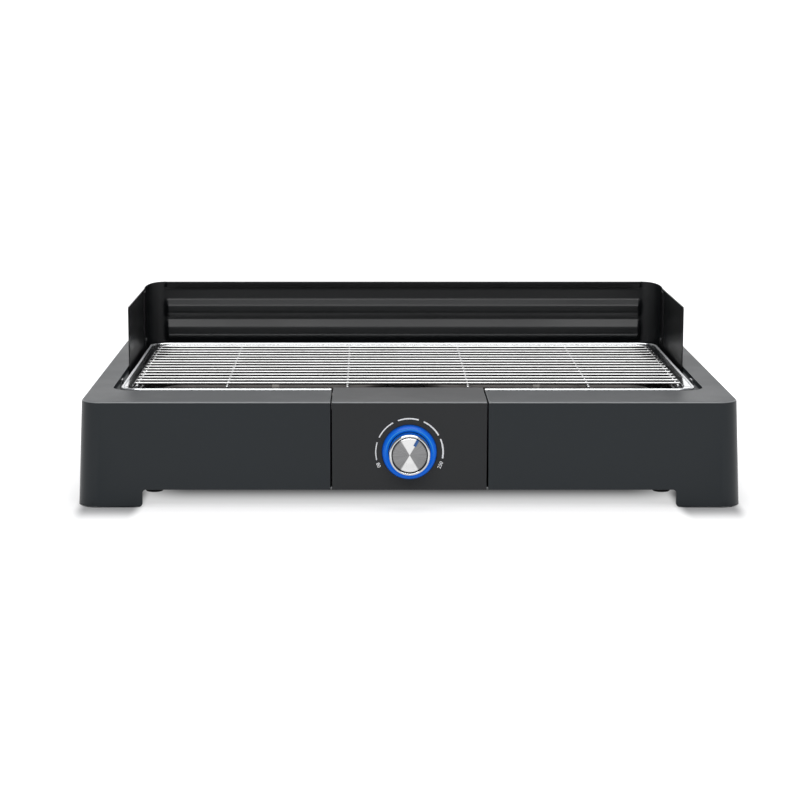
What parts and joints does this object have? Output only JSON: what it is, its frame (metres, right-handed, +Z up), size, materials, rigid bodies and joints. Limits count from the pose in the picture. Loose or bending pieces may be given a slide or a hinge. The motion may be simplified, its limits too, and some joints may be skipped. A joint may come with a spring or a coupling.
{
  "type": "electric table grill",
  "caption": "Low rectangular electric table grill with a wire grate over a drip tray, a lift-out front control unit with a lit dial, and a removable three-sided windshield.",
  "frame": {"origin": "centre of the assembly's bounding box in plan, on the table that the rubber feet stand on", "axes": "+Z up, the dial faces -Y, +X to the right seen from the dial"},
  "size_m": [0.5368, 0.3878, 0.144],
  "materials": {
    "body_plastic": "fine matt moulded anthracite",
    "box_plastic": "matt black moulded",
    "black_sheet": "satin black enamel on sheet steel",
    "polished_steel": "polished stainless",
    "grate_steel": "bright chromed wire",
    "sheet_steel": "plain rolled sheet",
    "aluminised": "aluminised reflector sheet",
    "element_steel": "heat-darkened steel tube",
    "foot_rubber": "matt black rubber",
    "screw_steel": "zinc plated",
    "light_guide": "blue translucent, lit",
    "board": "green laminate",
    "led": "clear",
    "ceramic": "steatite",
    "thermostat_metal": "plated strip and steatite",
    "switch_plastic": "black moulded",
    "plunger_plastic": "ivory moulded",
    "wire_skin": "silicone insulation",
    "gland_rubber": "matt black",
    "knob_chrome": "polished",
    "knob_alu": "spun, circular brush lines",
    "pointer_blue": "blue"
  },
  "bodies": {
    "housing": {"housing_shell": "body_plastic", "base_plate": "sheet_steel", "base_screws": "screw_steel", "rubber_feet": "foot_rubber", "heat_shield": "aluminised", "inner_frame": "black_sheet", "shield_clips": "sheet_steel"},
    "tray": {"drip_tray": "polished_steel"},
    "heating_unit": {"control_panel": "body_plastic", "control_box": "box_plastic", "box_screws": "screw_steel", "heat_barrier": "aluminised", "heating_element": "element_steel", "element_flange": "sheet_steel", "element_braces": "sheet_steel", "element_terminals": "ceramic", "thermostat": "thermostat_metal", "thermostat_bracket": "sheet_steel", "thermostat_screws": "screw_steel", "light_ring": "light_guide", "led_board": "board", "leds": "led", "safety_switch": "switch_plastic", "terminal_block": "ceramic", "wiring": "wire_skin", "cord_gland": "gland_rubber", "gland_clamp": "box_plastic", "clamp_screws": "screw_steel"},
    "knob": {"thermostat_shaft": "screw_steel", "knob_body": "knob_chrome", "knob_cap": "knob_alu", "knob_pointer": "pointer_blue", "knob_clip": "screw_steel"},
    "plunger": {"switch_plunger": "plunger_plastic"},
    "grate": {"grate_bars": "grate_steel", "grate_cross_wires": "grate_steel", "grate_end_wires": "grate_steel"},
    "windshield": {"windshield_back": "black_sheet", "windshield_left": "black_sheet", "windshield_right": "black_sheet", "shield_rivets": "black_sheet"}
  },
  "joints": [
    {"name": "tray_lift", "type": "slide", "parent": "housing", "child": "tray", "axis": [0, 0, 1], "range_m": [0, 0.12]},
    {"name": "unit_lift", "type": "slide", "parent": "tray", "child": "heating_unit", "axis": [0, 0, 1], "range_m": [0, 0.12]},
    {"name": "grate_lift", "type": "slide", "parent": "heating_unit", "child": "grate", "axis": [0, 0, 1], "range_m": [0, 0.1]},
    {"name": "shield_lift", "type": "slide", "parent": "housing", "child": "windshield", "axis": [0, 0, 1], "range_m": [0, 0.09]},
    {"name": "knob_turn", "type": "hinge", "parent": "heating_unit", "child": "knob", "pos_m": [0, -0.1775, 0.0453], "axis": [0, 1, 0], "range_deg": [-141, 85]},
    {"name": "plunger_travel", "type": "slide", "parent": "heating_unit", "child": "plunger", "axis": [0, 0, -1], "range_m": [0, 0.002]}
  ],
  "couplings": [
    {"joint": "plunger_travel", "follows": "unit_lift", "ratio": 0.016667}
  ]
}
